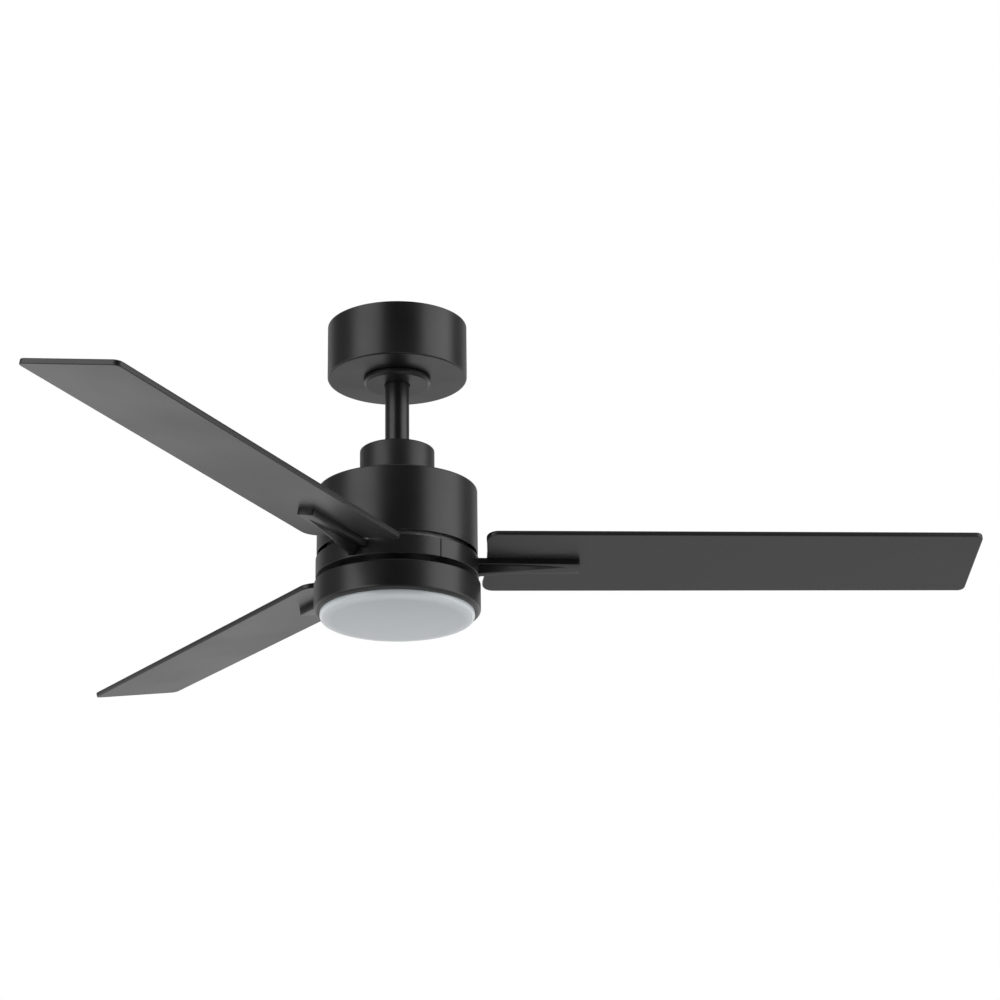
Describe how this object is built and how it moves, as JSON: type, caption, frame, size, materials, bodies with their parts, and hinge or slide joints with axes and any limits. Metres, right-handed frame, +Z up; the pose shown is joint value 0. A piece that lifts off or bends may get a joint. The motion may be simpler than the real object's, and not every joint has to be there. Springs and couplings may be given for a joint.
{
  "type": "ceiling fan with light",
  "caption": "Ceiling fan on a short downrod with flat pitched blades and a round opal light, for rooms with a normal ceiling.",
  "frame": {"origin": "the middle of the ceiling plane, on the fan's axis, between the two slots of the hanger bracket", "axes": "+Z up along the fan's axis into the ceiling; +X along blade 1 and along the line of the bracket's slots"},
  "size_m": [1.0349, 1.1917, 0.359],
  "materials": {
    "bracket_steel": "zinc-plated sheet steel",
    "canopy_coat": "satin black powder coat",
    "housing_coat": "satin black powder coat",
    "cup_coat": "satin black powder coat",
    "rod_coat": "satin black powder coat",
    "trim_plastic": "satin black moulding",
    "band_coat": "satin black moulding",
    "pan_coat": "satin black powder coat",
    "iron_coat": "satin black powder coat",
    "blade_finish": "matte black film on plywood",
    "opal": "opal diffuser, satin",
    "black_screws": "blackened steel",
    "plated_screws": "zinc-plated steel",
    "earth_screw": "green-dipped steel",
    "receiver_plastic": "white moulded case",
    "ball_nylon": "black glass-filled nylon",
    "grommet_rubber": "black rubber",
    "lead_sleeve": "insulated leads",
    "plug_plastic": "natural nylon plug",
    "cast_metal": "die-cast, unpainted",
    "shaft_steel": "ground steel",
    "core_steel": "laminated electrical steel",
    "magnet": "sintered ferrite",
    "copper": "enamelled copper wire",
    "board_white": "white-masked aluminium board",
    "led_yellow": "phosphor-coated diodes"
  },
  "bodies": {
    "ceiling_mount": {"hanger_bracket": "bracket_steel", "canopy": "canopy_coat", "canopy_screws": "black_screws", "canopy_trim_ring": "trim_plastic", "receiver_module": "receiver_plastic", "receiver_screws": "plated_screws", "ground_screw": "earth_screw"},
    "hanging_frame": {"hanger_ball": "ball_nylon", "ball_pin": "plated_screws", "set_screws": "plated_screws", "downrod": "rod_coat", "rod_grommet": "grommet_rubber", "motor_leads": "lead_sleeve", "lead_plug": "plug_plastic", "motor_yoke": "cast_metal", "yoke_pin": "plated_screws", "pin_clip": "plated_screws", "flange_screws": "plated_screws", "flange_nuts": "plated_screws", "coupling_cover": "cup_coat", "motor_housing": "housing_coat", "motor_shaft": "shaft_steel", "stator_core": "core_steel", "stator_coils": "copper", "bearing_inner_races": "shaft_steel", "light_mount_plate": "bracket_steel", "shaft_nut": "plated_screws", "light_pan": "pan_coat", "pan_screws": "plated_screws", "lens_lock_ring": "shaft_steel", "board_standoffs": "plated_screws", "led_board": "board_white", "board_screws": "plated_screws", "leds": "led_yellow", "led_driver": "receiver_plastic", "driver_screws": "plated_screws"},
    "rotor": {"rotor_upper_shell": "cast_metal", "rotor_lower_shell": "cast_metal", "rotor_shell_screws": "plated_screws", "rotor_back_iron": "core_steel", "rotor_magnets": "magnet", "bearing_outer_races": "shaft_steel", "bearing_balls": "shaft_steel", "blade_hub": "cast_metal", "hub_screws": "plated_screws", "iron_screws": "plated_screws", "band_screws": "plated_screws", "blade_screws": "black_screws", "blade_iron_1": "iron_coat", "blade_iron_2": "iron_coat", "blade_iron_3": "iron_coat", "hub_band_1": "band_coat", "hub_band_2": "band_coat", "hub_band_3": "band_coat", "blade_1": "blade_finish", "blade_2": "blade_finish", "blade_3": "blade_finish"},
    "lens": {"lens": "opal"}
  },
  "joints": [
    {"name": "rod_swing", "type": "hinge", "parent": "ceiling_mount", "child": "hanging_frame", "pos_m": [0, 0, -0.033], "axis": [1, 0, 0], "range_deg": [-1, 1]},
    {"name": "rotor_spin", "type": "hinge", "parent": "hanging_frame", "child": "rotor", "pos_m": [0, 0, -0.245], "axis": [0, 0, 1], "continuous": true},
    {"name": "lens_twist", "type": "hinge", "parent": "hanging_frame", "child": "lens", "pos_m": [0, 0, -0.345], "axis": [0, 0, 1], "range_deg": [-22, 0]}
  ]
}
